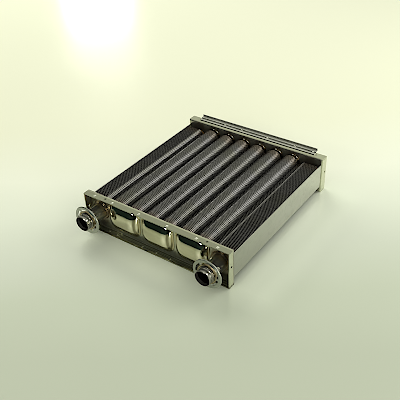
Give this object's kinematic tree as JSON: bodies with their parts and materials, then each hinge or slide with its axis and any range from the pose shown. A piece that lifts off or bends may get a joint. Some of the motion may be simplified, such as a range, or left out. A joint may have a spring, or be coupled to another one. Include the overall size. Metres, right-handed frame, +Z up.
{
  "type": "boiler heat exchanger",
  "caption": "Flat finned water heat exchanger for a wall boiler: tubes between two flanged header plates, pressed turn-round domes and two front connection pipes.",
  "frame": {"origin": "middle of the bounding box's footprint, on the plane that both header plates stand on", "axes": "+Y runs along the tubes from the connection pipes at the front to the hook strip at the back, +X to the right seen from the front, +Z up"},
  "size_m": [0.2124, 0.258, 0.0551],
  "materials": {
    "header_sheet": "satin sheet with fine rolling marks",
    "side_sheet": "satin sheet",
    "tube_steel": "heat-tinted",
    "fin_steel": "dark oxidised",
    "dome_steel": "mirror polished, slightly heat-tinted",
    "pipe_steel": "polished, dark",
    "collar_steel": "matt",
    "braze_metal": "heat-tinted braze"
  },
  "bodies": {
    "root": {"front_header_plate": "header_sheet", "rear_header_plate": "header_sheet", "left_side_plate": "side_sheet", "right_side_plate": "side_sheet", "end_tube_left": "tube_steel", "oval_tube_1": "tube_steel", "oval_tube_2": "tube_steel", "oval_tube_3": "tube_steel", "oval_tube_4": "tube_steel", "oval_tube_5": "tube_steel", "oval_tube_6": "tube_steel", "end_tube_right": "tube_steel", "fin_pack_front": "fin_steel", "fin_pack_rear": "fin_steel", "front_dome_left": "dome_steel", "front_dome_middle": "dome_steel", "front_dome_right": "dome_steel", "rear_dome_1": "dome_steel", "rear_dome_2": "dome_steel", "rear_dome_3": "dome_steel", "rear_dome_4": "dome_steel", "left_pipe": "pipe_steel", "right_pipe": "pipe_steel", "left_pipe_collar": "collar_steel", "right_pipe_collar": "collar_steel", "left_pipe_braze": "braze_metal", "right_pipe_braze": "braze_metal", "rear_tube_braze": "braze_metal", "rear_hook_strip": "header_sheet"}
  },
  "joints": []
}
